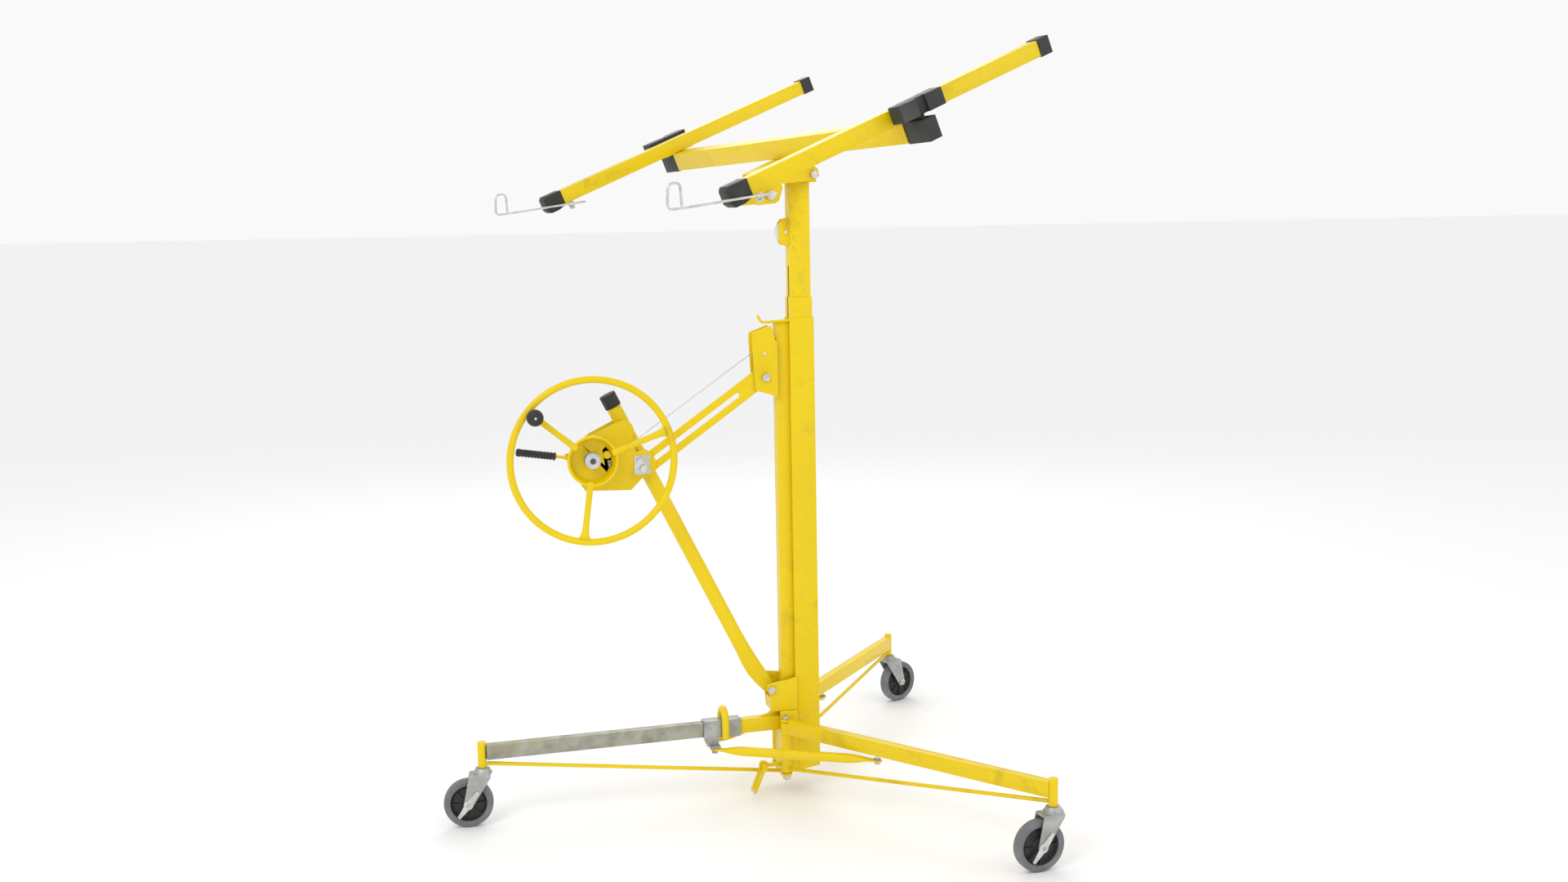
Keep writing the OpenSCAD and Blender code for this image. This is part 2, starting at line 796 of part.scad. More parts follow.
module brake_lever() {
    rod = lever_rod_y;
    color(yellow) on_mast() {
        difference() {
            union() {
                y_cyl(wheel_at, 26, lever_y[0], lever_y[1]);
                between(wheel_at, wheel_at + [cos(lever_angle), sin(lever_angle)])
                    translate([0, lever_y[0], -8]) cube([66, lever_y[1] - lever_y[0], 16]);
                between(wheel_at, wheel_at + [cos(roller_angle), sin(roller_angle)])
                    translate([0, lever_y[0], -6]) cube([roller_at + 5, lever_y[1] - lever_y[0], 12]);
            }
            y_cyl(wheel_at, shaft_r + fit, -100, 0);
        }
        between(wheel_at, wheel_at + [cos(lever_angle), sin(lever_angle)]) {
            translate([66, rod, 0]) rotate([0, 90, 0]) cylinder(r = 4, h = 46);
            translate([66, lever_y[1], 0]) rotate([90, 0, 0]) cylinder(r = 5, h = lever_y[1] - rod + 5);
        }
        y_cyl(wheel_at + roller_at * [cos(roller_angle), sin(roller_angle)], 4, lever_y[0] - 14, lever_y[0]);
        y_cyl(wheel_at + roller_at * [cos(roller_angle), sin(roller_angle)], 7, lever_y[0] - 16, lever_y[0] - 10);
    }
}

module brake_grip() {
    color(black) on_mast() between(wheel_at, wheel_at + [cos(lever_angle), sin(lever_angle)])
        translate([92, lever_rod_y, 0]) rotate([0, 90, 0]) difference() {
            cylinder(r = 10, h = 98);
            translate([0, 0, -1]) cylinder(r = 4, h = 21);
        }
}

// ---- cradle ----

module turret() {
    ear_x = [2, 34];
    color(yellow) in_turret() {
        // base plate, a running gap above the mast, and its spigot
        translate([-30, -34, third_top + 0.3]) cube([64, 68, 5]);
        translate([0, 0, third_top - 44]) cylinder(r = 15, h = 45);
        for (y = [-34, 30]) difference() {
            translate([ear_x[0], y, third_top + 1]) cube([ear_x[1] - ear_x[0], 4, 31]);
            translate([pivot_x, 0, pivot_z]) rotate([90, 0, 0])
                cylinder(r = tilt_bolt_r + fit, h = 100, center = true);
        }
    }
}

module cradle_bracket() {
    outline = [[-145, 64], [-181, -8], [-129, -24], [-117, -22], [-94, 4], [-94, 14], [-8, -14],
        [14, -10], [18, 8], [8, 24], [-8, 64]];
    color(yellow) in_cradle() {
        for (y = [-head_half, head_half - head_t]) difference() {
            xz_plate(y, y + head_t) polygon(outline);
            rotate([90, 0, 0]) cylinder(r = tilt_bolt_r, h = 120, center = true);
            translate(latch_pin_at) rotate([90, 0, 0]) cylinder(r = 5 + fit, h = 120, center = true);
        }
        translate([-145, -head_half + head_t, 60]) cube([137, 2 * (head_half - head_t), 4.7]);
    }
}

module tilt_bolt() {
    color(steel) in_cradle() rotate([90, 0, 0]) {
        cylinder(r = tilt_bolt_r, h = 2 * head_half + 12, center = true);
        translate([0, 0, head_half]) hex_head(19, 8);
        translate([0, 0, -head_half - 8]) hex_head(19, 8);
    }
}

// Spring pin in the low end of the bracket
module tilt_latch() {
    color(steel) in_cradle() translate(latch_pin_at) rotate([90, 0, 0]) {
        translate([0, 0, head_half - 14]) cylinder(r = 5, h = 26);
        translate([0, 0, head_half + 1]) cylinder(r = 10, h = 3);
        translate([0, 0, head_half + 11]) cylinder(r = 12, h = 10);
    }
}

module main_beam() {
    color(yellow) in_beam() difference() {
        translate([-beam[0] / 2, -beam_half, -beam[1] / 2]) cube([beam[0], 2 * beam_half, beam[1]]);
        translate([3 - beam[0] / 2, -beam_half - 1, 3 - beam[1] / 2])
            cube([beam[0] - 6, 2 * beam_half + 2, beam[1] - 6]);
    }
}

module cross_arm(y) {
    color(yellow) in_cradle() {
        difference() {
            translate([arm_x[0] - 42, y - arm_s / 2, arm_z - arm_s / 2])
                cube([arm_x[1] - arm_x[0] + 62, arm_s, arm_s]);
            translate([arm_x[0] - 60, y - arm_s / 2 + 2, arm_z - arm_s / 2 + 2])
                cube([arm_x[1] - arm_x[0] + 100, arm_s - 4, arm_s - 4]);
        }
        // saddle plate between the arm and the beam
        translate([beam_x - 45 - y * sin(beam_skew), y - 17, arm_z - arm_s / 2 - 1.9]) cube([90, 34, 1.9]);
    }
}

module front_arm() {
    cross_arm(-arm_y);
}

module rear_arm() {
    cross_arm(arm_y);
}

// Rubber boots on the low ends, plain caps on the high ends
module arm_caps() {
    s = arm_s + 4;
    color(black) in_cradle() for (y = [-arm_y, arm_y]) translate([0, y, arm_z]) {
        difference() {
            xz_plate(-s / 2, s / 2) polygon([[arm_x[0], s / 2], [arm_x[0] - boot_l + 6, s / 2],
                [arm_x[0] - boot_l, s / 2 - 8], [arm_x[0] - boot_l, -s / 2 + 4], [arm_x[0] - boot_l + 8, -s / 2 - 6],
                [arm_x[0] - 22, -s / 2 - 6], [arm_x[0], -s / 2]]);
            translate([arm_x[0] - 42, -arm_s / 2, -arm_s / 2]) cube([60, arm_s, arm_s]);
        }
        difference() {
            translate([arm_x[1], -s / 2, -s / 2]) cube([cap_l, s, s]);
            translate([arm_x[1] - 10, -arm_s / 2, -arm_s / 2]) cube([30, arm_s, arm_s]);
        }
    }
}

// Bolts under the arms that the hook wires turn on
module hook_clips() {
    color(steel) in_cradle() for (y = [-arm_y, arm_y]) translate([hook_x, y, arm_z - arm_s / 2]) {
        translate([0, 0, -23]) cylinder(r = 4, h = 23);
        translate([0, 0, -23]) hex_head(14, 7);
        translate([0, 0, -6]) cylinder(r = 9, h = 6);
    }
}

// Panel hook: an eye on the clip, a wire past the arm's side and an upright loop
module panel_hook() {
    r = hook_d / 2;
    side = -arm_s / 2 - 7;
    low = arm_z - arm_s / 2 - 12;
    foot = [-188, side, arm_z + 23];
    heel = foot + [-32, 0, 10];
    difference() {
        translate([0, 0, low - 3]) cylinder(r = 9, h = 6);
        translate([0, 0, low - 6]) cylinder(r = 4 + fit, h = 14);
    }
    bent_rod([[8, -3, low], [36, side, low - 5], foot, heel, heel + [22, 0, 49], foot + [17, 0, 51],
        foot + [1, 0, 4]], r);
}

module front_hook() {
    color(steel) in_cradle() translate([hook_x, -arm_y, 0]) panel_hook();
}

module rear_hook() {
    color(steel) in_cradle() translate([hook_x, arm_y, 0]) panel_hook();
}

module outrigger_knobs() {
    color(yellow) in_beam() for (y = [-548, 548]) translate([beam[0] / 2, y, 0]) rotate([0, 90, 0]) {
        cylinder(r = 5, h = 10);
        translate([0, 0, 9]) cylinder(r = 12, h = 12);
    }
}

// T-shaped rest on the end of a sliding tube, drawn for the end at -Y
module outrigger_head() {
    difference() {
        translate([-61, -654, rest_top - 39]) cube([122, 45, 39]);
        translate([-13, -655, rest_top - 45]) cube([26, 9, 60]);
    }
    translate([0, -631, 20.5]) cylinder(r = 9, h = rest_top - 55.5);
    difference() {
        translate([-17, -662, -27]) cube([34, 84, 51]);
        translate([-14.5, -640, -20.5]) cube([29, 63, 41]);
    }
}

module outrigger_tube() {
    difference() {
        translate([-14.5, -639.5, -20.5]) cube([29, 520, 41]);
        translate([-12, -641, -18]) cube([24, 530, 36]);
    }
}

module front_outrigger() {
    color(black) in_beam() outrigger_head();
}

module rear_outrigger() {
    color(black) in_beam() mirror([0, 1, 0]) outrigger_head();
}

module front_outrigger_tube() {
    color(zinc) in_beam() outrigger_tube();
}

module rear_outrigger_tube() {
    color(zinc) in_beam() mirror([0, 1, 0]) outrigger_tube();
}

outer_mast();
cable_channel();
brace_bracket();
carry_hook();
leg_hub();
post_bracket();
frame_bolts();
fixed_leg_stub();
fixed_leg_tube();
fixed_leg_post();
fixed_leg_stay();
lift_cable();
second_mast();
third_mast();
head_pulley();
guide_pulley();
turret();
cradle_bracket();
tilt_bolt();
tilt_latch();
main_beam();
front_arm();
rear_arm();
arm_caps();
hook_clips();
outrigger_knobs();
front_hook();
rear_hook();
front_outrigger();
front_outrigger_tube();
rear_outrigger();
rear_outrigger_tube();
winch_post();
post_cap();
winch_frame();
brace_clamp();
slotted_brace();
steering_wheel();
wheel_hub();
cable_drum();
wheel_knob();
brake_lever();
brake_grip();
left_leg();
left_leg_stay();
right_leg();
right_leg_stay();
slide_collar();
collar_handle();
left_link();
right_link();
leg_latch();
fixed_caster_fork();
left_caster_fork();
right_caster_fork();
fixed_caster_wheel();
left_caster_wheel();
right_caster_wheel();
fixed_caster_brake();
left_caster_brake();
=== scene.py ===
"""Drywall lift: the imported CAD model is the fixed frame, and this script gives it its looks."""
import json
import math

import bmesh
import bpy
from mathutils import Matrix, Vector


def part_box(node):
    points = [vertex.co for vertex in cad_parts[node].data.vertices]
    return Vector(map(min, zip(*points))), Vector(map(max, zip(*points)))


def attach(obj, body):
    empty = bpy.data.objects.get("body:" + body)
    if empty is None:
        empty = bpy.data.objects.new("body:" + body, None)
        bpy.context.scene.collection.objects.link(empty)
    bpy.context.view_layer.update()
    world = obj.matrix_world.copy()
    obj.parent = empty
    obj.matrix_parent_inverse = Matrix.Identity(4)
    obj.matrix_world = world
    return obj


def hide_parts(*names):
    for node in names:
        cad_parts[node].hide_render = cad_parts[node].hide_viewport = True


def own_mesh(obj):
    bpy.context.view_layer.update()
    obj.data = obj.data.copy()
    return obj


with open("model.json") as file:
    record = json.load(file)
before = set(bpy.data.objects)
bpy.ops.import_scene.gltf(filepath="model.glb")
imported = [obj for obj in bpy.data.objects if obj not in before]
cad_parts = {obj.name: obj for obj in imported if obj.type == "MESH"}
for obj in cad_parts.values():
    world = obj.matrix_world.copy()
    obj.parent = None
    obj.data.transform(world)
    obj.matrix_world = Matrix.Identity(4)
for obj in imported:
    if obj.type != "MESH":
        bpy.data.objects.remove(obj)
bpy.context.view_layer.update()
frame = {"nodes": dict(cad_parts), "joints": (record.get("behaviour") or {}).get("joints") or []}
NODES = frame["nodes"]
JOINTS = {j["name"]: j for j in frame["joints"]}
MM = 0.001


# ---- places, worked out from the frame ----

def joint_at(name):
    return Vector(JOINTS[name]["pos_m"])


def joint_axis(name):
    return Vector(JOINTS[name]["axis"]).normalized()


def frame_of(origin, x_axis, z_axis):
    """Matrix of a frame from its origin, its X direction and roughly its Z direction."""
    x = Vector(x_axis).normalized()
    y = Vector(z_axis).cross(x).normalized()
    z = x.cross(y)
    return Matrix.Translation(origin) @ Matrix((x, y, z)).transposed().to_4x4()


MAST = joint_at("cradle_swivel")
MAST.z = 0
AT_MAST = Matrix.Translation(MAST)
ARM_NORMAL = joint_axis("front_hook_swing")
CROSS = -joint_axis("cradle_tilt")
ARM_DIR = CROSS.cross(ARM_NORMAL).normalized()
AT_CRADLE = frame_of(joint_at("cradle_tilt"), ARM_DIR, ARM_NORMAL)


# ---- camera, floor and light ----

CAMERA_AT = (-1.0494, -4.1309, 1.5299)
CAMERA_TURN, CAMERA_DOWN, CAMERA_ROLL = math.radians(13.6), math.radians(7.8), math.radians(-1.0)


def make_camera():
    data = bpy.data.cameras.new("camera")
    data.lens = 37.5
    data.sensor_width = 36
    camera = bpy.data.objects.new("camera", data)
    bpy.context.scene.collection.objects.link(camera)
    a, p = CAMERA_TURN, CAMERA_DOWN
    forward = Vector((math.sin(a) * math.cos(p), math.cos(a) * math.cos(p), -math.sin(p)))
    right = Vector((math.cos(a), -math.sin(a), 0))
    up = right.cross(forward)
    right, up = (right * math.cos(CAMERA_ROLL) + up * math.sin(CAMERA_ROLL),
                 up * math.cos(CAMERA_ROLL) - right * math.sin(CAMERA_ROLL))
    camera.matrix_world = Matrix.Translation(MAST + Vector(CAMERA_AT)) @ Matrix(
        (right, up, -forward)).transposed().to_4x4()
    bpy.context.scene.camera = camera


def area_light(name, place, target, size, power):
    data = bpy.data.lights.new(name, "AREA")
    data.shape = "DISK"
    data.size = size
    data.energy = power
    light = bpy.data.objects.new(name, data)
    light.location = place
    light.rotation_euler = (Vector(target) - Vector(place)).to_track_quat("-Z", "Y").to_euler()
    bpy.context.scene.collection.objects.link(light)


def make_studio():
    bpy.context.scene.view_settings.view_transform = "Standard"
    world = bpy.data.worlds.new("studio")
    bpy.context.scene.world = world
    world.use_nodes = True
    background = world.node_tree.nodes["Background"]
    background.inputs["Color"].default_value = (1.0, 1.0, 1.0, 1)
    background.inputs["Strength"].default_value = 0.95
    bpy.ops.mesh.primitive_plane_add(size=400, location=(0, 0, -0.0005))
    floor = bpy.context.object
    floor.name = "floor"
    floor.data.materials.append(plain_floor())
    aim = (0, 0, 1.0)
    area_light("key_light", (-3.2, -3.6, 4.6), aim, 2.6, 75)
    area_light("fill_light", (3.6, -3.0, 2.6), aim, 3.0, 14)
    area_light("back_light", (0.8, 4.2, 3.8), aim, 2.6, 40)


def plain_floor():
    mat = bpy.data.materials.new("studio_floor")
    mat.use_nodes = True
    shader = mat.node_tree.nodes["Principled BSDF"]
    shader.inputs["Base Color"].default_value = (0.93, 0.93, 0.93, 1)
    shader.inputs["Roughness"].default_value = 0.75
    shader.inputs["Specular IOR Level"].default_value = 0.2
    return mat


# ---- materials ----

class Surface:
    """A node material: two noise-mixed colours, wear, varied roughness and a fine bump."""

    def __init__(self, name, metallic=0.0, coat=0.0, specular=0.5):
        self.mat = bpy.data.materials.new(name)
        self.mat.use_nodes = True
        self.tree = self.mat.node_tree
        self.shader = self.tree.nodes["Principled BSDF"]
        self.shader.inputs["Metallic"].default_value = metallic
        self.shader.inputs["Coat Weight"].default_value = coat
        self.shader.inputs["Coat Roughness"].default_value = 0.12
        self.shader.inputs["Specular IOR Level"].default_value = specular
        coords = self.tree.nodes.new("ShaderNodeTexCoord")
        self.coords = coords.outputs["Object"]

    def link(self, a, b):
        self.tree.links.new(a, b)

    def noise(self, scale, detail=4.0, stretch=(1, 1, 1)):
        mapping = self.tree.nodes.new("ShaderNodeMapping")
        mapping.inputs["Scale"].default_value = stretch
        self.link(self.coords, mapping.inputs["Vector"])
        node = self.tree.nodes.new("ShaderNodeTexNoise")
        node.inputs["Scale"].default_value = scale
        node.inputs["Detail"].default_value = detail
        self.link(mapping.outputs["Vector"], node.inputs["Vector"])
        return node.outputs["Fac"]

    def ramp(self, value, low, high):
        node = self.tree.nodes.new("ShaderNodeMapRange")
        node.inputs["From Min"].default_value = low
        node.inputs["From Max"].default_value = high
        self.link(value, node.inputs["Value"])
        return node.outputs["Result"]

    def mix(self, factor, first, second):
        node = self.tree.nodes.new("ShaderNodeMix")
        node.data_type = "RGBA"
        self.link(factor, node.inputs["Factor"])
        for socket, value in ((node.inputs[6], first), (node.inputs[7], second)):
            if isinstance(value, tuple):
                socket.default_value = (*value, 1)
            else:
                self.link(value, socket)
        return node.outputs[2]

    def times(self, a, b):
        node = self.tree.nodes.new("ShaderNodeMath")
        node.operation = "MULTIPLY"
        self.link(a, node.inputs[0])
        self.link(b, node.inputs[1])
        return node.outputs[0]

    def edges(self, low=0.52, high=0.6):
        geometry = self.tree.nodes.new("ShaderNodeNewGeometry")
        return self.ramp(geometry.outputs["Pointiness"], low, high)

    def colour(self, value):
        self.link(value, self.shader.inputs["Base Color"])

    def roughness(self, value, low, high):
        node = self.tree.nodes.new("ShaderNodeMapRange")
        node.inputs["To Min"].default_value = low
        node.inputs["To Max"].default_value = high
        self.link(value, node.inputs["Value"])
        self.link(node.outputs["Result"], self.shader.inputs["Roughness"])

    def bump(self, value, strength, distance):
        node = self.tree.nodes.new("ShaderNodeBump")
        node.inputs["Strength"].default_value = strength
        node.inputs["Distance"].default_value = distance
        self.link(value, node.inputs["Height"])
        self.link(node.outputs["Normal"], self.shader.inputs["Normal"])


def yellow_paint():
    s = Surface("yellow_powder_coat", coat=0.06, specular=0.3)
    drift = s.ramp(s.noise(3.0), 0.3, 0.7)
    base = s.mix(drift, (0.82, 0.60, 0.0), (0.76, 0.55, 0.0))
    grime = s.times(s.ramp(s.noise(14.0, 8.0), 0.56, 0.74), s.ramp(s.noise(2.2), 0.45, 0.7))
    base = s.mix(grime, base, (0.50, 0.35, 0.01))
    chips = s.times(s.edges(0.56, 0.66), s.ramp(s.noise(90.0, 6.0), 0.55, 0.62))
    s.colour(s.mix(chips, base, (0.36, 0.30, 0.12)))
    s.roughness(s.noise(22.0), 0.30, 0.44)
    s.bump(s.noise(420.0, 2.0), 0.10, 0.0006)
    return s.mat


def bright_steel():
    s = Surface("bright_zinc_steel", metallic=0.9)
    tone = s.ramp(s.noise(60.0, 6.0), 0.3, 0.75)
    base = s.mix(tone, (0.74, 0.74, 0.72), (0.50, 0.50, 0.49))
    s.colour(s.mix(s.ramp(s.noise(9.0), 0.6, 0.75), base, (0.42, 0.38, 0.30)))
    s.roughness(s.noise(80.0), 0.22, 0.42)
    s.bump(s.noise(300.0, 3.0), 0.08, 0.0004)
    return s.mat


def zinc_steel(name="dull_zinc_steel", light=(0.50, 0.51, 0.50), dark=(0.30, 0.31, 0.30)):
    s = Surface(name, metallic=0.72)
    base = s.mix(s.ramp(s.noise(26.0, 8.0), 0.32, 0.7), light, dark)
    streak = s.ramp(s.noise(40.0, 4.0, (0.05, 1, 1)), 0.5, 0.75)
    s.colour(s.mix(streak, base, (0.36, 0.36, 0.33)))
    s.roughness(s.noise(35.0, 6.0), 0.34, 0.58)
    s.bump(s.noise(240.0, 4.0), 0.12, 0.0004)
    return s.mat


def rubbed_tube():
    s = Surface("rubbed_zinc_tube", metallic=0.6)
    base = s.mix(s.ramp(s.noise(30.0, 8.0), 0.35, 0.7), (0.42, 0.41, 0.34), (0.27, 0.265, 0.21))
    patch = s.ramp(s.noise(5.0, 3.0, (0.35, 1, 1)), 0.56, 0.68)
    paint = s.times(patch, s.ramp(s.noise(60.0, 6.0), 0.45, 0.6))
    s.colour(s.mix(paint, base, (0.62, 0.48, 0.03)))
    s.roughness(s.noise(30.0, 6.0), 0.36, 0.6)
    s.bump(s.noise(200.0, 4.0), 0.12, 0.0005)
    return s.mat


def black_plastic():
    s = Surface("black_moulded_plastic", specular=0.45)
    scuff = s.times(s.ramp(s.noise(50.0, 8.0), 0.55, 0.72), s.ramp(s.noise(7.0), 0.4, 0.7))
    base = s.mix(scuff, (0.018, 0.018, 0.017), (0.055, 0.055, 0.052))
    s.colour(s.mix(s.edges(0.55, 0.7), base, (0.06, 0.06, 0.06)))
    s.roughness(s.noise(90.0), 0.42, 0.62)
    s.bump(s.noise(900.0, 2.0), 0.25, 0.0003)
    return s.mat


def grey_tread():
    s = Surface("grey_tread_rubber", specular=0.35)
    dust = s.ramp(s.noise(24.0, 8.0), 0.42, 0.7)
    s.colour(s.mix(dust, (0.150, 0.152, 0.165), (0.21, 0.21, 0.215)))
    s.roughness(s.noise(60.0), 0.5, 0.75)
    s.bump(s.noise(500.0, 5.0), 0.2, 0.0004)
    return s.mat


def white_nylon():
    s = Surface("white_nylon")
    s.colour(s.mix(s.ramp(s.noise(20.0), 0.4, 0.7), (0.78, 0.78, 0.75), (0.66, 0.66, 0.62)))
    s.roughness(s.noise(40.0), 0.35, 0.5)
    s.bump(s.noise(200.0), 0.08, 0.0003)
    return s.mat


# Painted shade: near-black steel for the disc that stands in for the shade inside the wheel shaft's socket.
def socket_shade_paint():
    return zinc_steel("painted_socket_shade", (0.12, 0.12, 0.12), (0.05, 0.05, 0.05))


PAINT = yellow_paint()
STEEL = bright_steel()
ZINC = zinc_steel()
TUBE = rubbed_tube()
PLASTIC = black_plastic()
TREAD = grey_tread()
NYLON = white_nylon()
SOCKET_SHADE = socket_shade_paint()


# ---- mesh tools ----

def finish_mesh(name, bm, mat, body, place=None, bevel=0.0, smooth=40):
    """Turns a bmesh into a piece that rides on a body, with an optional bevel."""
    bmesh.ops.remove_doubles(bm, verts=bm.verts, dist=1e-6)
    bmesh.ops.recalc_face_normals(bm, faces=bm.faces)
    mesh = bpy.data.meshes.new(name)
    bm.to_mesh(mesh)
    bm.free()
    if place is not None:
        mesh.transform(place)
    piece = bpy.data.objects.new(name, mesh)
    bpy.context.scene.collection.objects.link(piece)
    mesh.materials.append(mat)
    if bevel:
        round_edges(piece, bevel)
    smooth_faces(mesh, smooth)
    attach(piece, body)
    return piece


def smooth_faces(mesh, angle):
    mesh.shade_smooth()
    bm = bmesh.new()
    bm.from_mesh(mesh)
    limit = math.radians(angle)
    for edge in bm.edges:
        edge.smooth = len(edge.link_faces) == 2 and edge.calc_face_angle(0) < limit
    bm.to_mesh(mesh)
    bm.free()


def round_edges(piece, width, segments=3):
    mod = piece.modifiers.new("bevel", "BEVEL")
    mod.width = width
    mod.segments = segments
    mod.limit_method = "ANGLE"
    mod.angle_limit = math.radians(32)
    mod.harden_normals = False
    mod.use_clamp_overlap = True


def mm2(profile):
    return [(r * MM, h * MM) for r, h in profile]


def circle_point(u, v, radius, share):
    """Point on a circle of two unit vectors, at a share of a full turn."""
    turn = 2 * math.pi * share
    return (u * math.cos(turn) + v * math.sin(turn)) * radius


def ring_strip(bm, rings, closed_ends=True, loop=False):
    """Joins rings of equal length into a skin."""
    verts = [[bm.verts.new(p) for p in ring] for ring in rings]
    count = len(verts[0])
    pairs = list(zip(verts, verts[1:]))
    if loop:
        pairs.append((verts[-1], verts[0]))
    for a, b in pairs:
        for i in range(count):
            j = (i + 1) % count
            bm.faces.new((a[i], a[j], b[j], b[i]))
    if closed_ends and not loop:
        bm.faces.new(list(reversed(verts[0])))
        bm.faces.new(verts[-1])


def lathe(name, profile, place, mat, body, count=72, loop=True):
    """Turns a profile of (radius, height) about Z of the placing frame; a loop profile is closed."""
    bm = bmesh.new()
    rings = [[Vector((r * math.cos(2 * math.pi * k / count), r * math.sin(2 * math.pi * k / count), h))
              for k in range(count)] for r, h in profile]
    ring_strip(bm, rings, closed_ends=not loop, loop=loop)
    return finish_mesh(name, bm, mat, body, place, smooth=35)


def frames_along(points):
    """A steady frame at each point of a path, without twist."""
    tangents = []
    for i, _ in enumerate(points):
        a, b = points[max(i - 1, 0)], points[min(i + 1, len(points) - 1)]
        tangents.append((b - a).normalized())
    side = tangents[0].orthogonal().normalized()
    frames = []
    for t in tangents:
        side = (side - t * side.dot(t)).normalized()
        frames.append((side, t.cross(side)))
    return frames


def rounded_path(points, radius, steps=6):
    """The points with each corner replaced by a curve."""
    points = [Vector(p) for p in points]
    out = [points[0]]
    for a, b, c in zip(points, points[1:], points[2:]):
        cut = min(radius, (b - a).length * 0.48, (c - b).length * 0.48)
        start, end = b + (a - b).normalized() * cut, b + (c - b).normalized() * cut
        for k in range(steps + 1):
            t = k / steps
            out.append(start * (1 - t) ** 2 + b * 2 * t * (1 - t) + end * t ** 2)
    out.append(points[-1])
    return out


ROD_END = 0.35  # share of the radius that a rod's end is rounded by


def rod(name, points, radius, mat, body, place=None, corner=0.0, count=20):
    """Round bar along a path, with softly rounded ends."""
    path = rounded_path(points, corner) if corner else [Vector(p) for p in points]
    first, last = (path[1] - path[0]).normalized(), (path[-1] - path[-2]).normalized()
    cut = radius * ROD_END
    path = [path[0], path[0] + first * cut, *path[1:-1], path[-1] - last * cut, path[-1]]
    radii = [radius - cut, *[radius] * (len(path) - 2), radius - cut]
    bm = bmesh.new()
    rings = []
    for point, (u, v), r in zip(path, frames_along(path), radii):
        rings.append([point + circle_point(u, v, r, k / count) for k in range(count)])
    ring_strip(bm, rings)
    return finish_mesh(name, bm, mat, body, place)


def loft(name, sections, mat, body, place=None, count=32):
    """Skin through superellipse sections: (centre, side vector, up vector, squareness)."""
    bm = bmesh.new()
    rings = []
    for centre, side, up, power in sections:
        ring = []
        for k in range(count):
            c, s = math.cos(2 * math.pi * k / count), math.sin(2 * math.pi * k / count)
            ring.append(Vector(centre) + Vector(side) * math.copysign(abs(c) ** (2 / power), c)
                        + Vector(up) * math.copysign(abs(s) ** (2 / power), s))
        rings.append(ring)
    ring_strip(bm, rings)
    return finish_mesh(name, bm, mat, body, place, smooth=50)


def plate(name, outline, thick, mat, body, place, bevel=0.0008):
    """Flat plate of (x, y) points, from z 0 to its thickness."""
    bm = bmesh.new()
    low = [bm.verts.new((x, y, 0)) for x, y in outline]
    high = [bm.verts.new((x, y, thick)) for x, y in outline]
    bm.faces.new(list(reversed(low)))
    bm.faces.new(high)
    for i, _ in enumerate(low):
        j = (i + 1) % len(low)
        bm.faces.new((low[i], low[j], high[j], high[i]))
    return finish_mesh(name, bm, mat, body, place, bevel=bevel)


def hex_bolt(name, at, axis, flats, height, mat, body):
    """Chamfered hexagon head standing along axis from at."""
    place = frame_of(at, Vector(axis).orthogonal(), axis)
    bm = bmesh.new()
    rings = []
    for round_top, h in ((False, 0), (False, height * 0.78), (True, height)):
        ring = []
        for k in range(36):
            a = 2 * math.pi * k / 36
            hexagon = flats / 2 / math.cos((a + math.pi / 6) % (math.pi / 3) - math.pi / 6)
            r = flats / 2 * 0.93 if round_top else hexagon
            ring.append(Vector((r * math.cos(a), r * math.sin(a), h)))
        rings.append(ring)
    ring_strip(bm, rings)
    return finish_mesh(name, bm, mat, body, place, smooth=25)


# ---- the CAD nodes that stay: clean edges, soft corners, materials ----

def modifier_group(name):
    group = bpy.data.node_groups.new(name, "GeometryNodeTree")
    for way in ("INPUT", "OUTPUT"):
        group.interface.new_socket("Geometry", in_out=way, socket_type="NodeSocketGeometry")
    return group, group.nodes.new("NodeGroupInput").outputs[0], group.nodes.new("NodeGroupOutput").inputs[0]


def make_welding():
    """Joins the split corners and drops the stored normals, so that edges can be bevelled."""
    group, start, end = modifier_group("weld_corners")
    drop = group.nodes.new("GeometryNodeRemoveAttribute")
    drop.inputs["Name"].default_value = "custom_normal"
    merge = group.nodes.new("GeometryNodeMergeByDistance")
    merge.inputs["Distance"].default_value = 0.00002
    group.links.new(start, drop.inputs["Geometry"])
    group.links.new(drop.outputs["Geometry"], merge.inputs["Geometry"])
    group.links.new(merge.outputs["Geometry"], end)
    return group


def make_smoothing():
    """Smooth shading everywhere but over sharp edges."""
    group, start, end = modifier_group("smooth_by_angle")
    angle = group.nodes.new("GeometryNodeInputMeshEdgeAngle")
    sharp = group.nodes.new("FunctionNodeCompare")
    sharp.operation = "GREATER_THAN"
    sharp.inputs["B"].default_value = math.radians(34)
    group.links.new(angle.outputs["Unsigned Angle"], sharp.inputs["A"])
    last = start
    for domain, smooth in (("FACE", True), ("EDGE", True), ("EDGE", False)):
        shade = group.nodes.new("GeometryNodeSetShadeSmooth")
        shade.domain = domain
        shade.inputs["Shade Smooth"].default_value = smooth
        group.links.new(last, shade.inputs["Geometry"])
        last = shade.outputs["Geometry"]
    group.links.new(sharp.outputs["Result"], shade.inputs["Selection"])
    group.links.new(last, end)
    return group


WELDING = make_welding()
SMOOTHING = make_smoothing()


def dress(mat, width, *names):
    for name in names:
        node = NODES[name]
        node.modifiers.new("weld", "NODES").node_group = WELDING
        flat = node.modifiers.new("flatten", "DECIMATE")
        flat.decimate_type = "DISSOLVE"
        flat.angle_limit = math.radians(1)
        round_edges(node, width * MM, 2)
        node.modifiers.new("smooth", "NODES").node_group = SMOOTHING
        for s in node.material_slots:
            s.material = mat


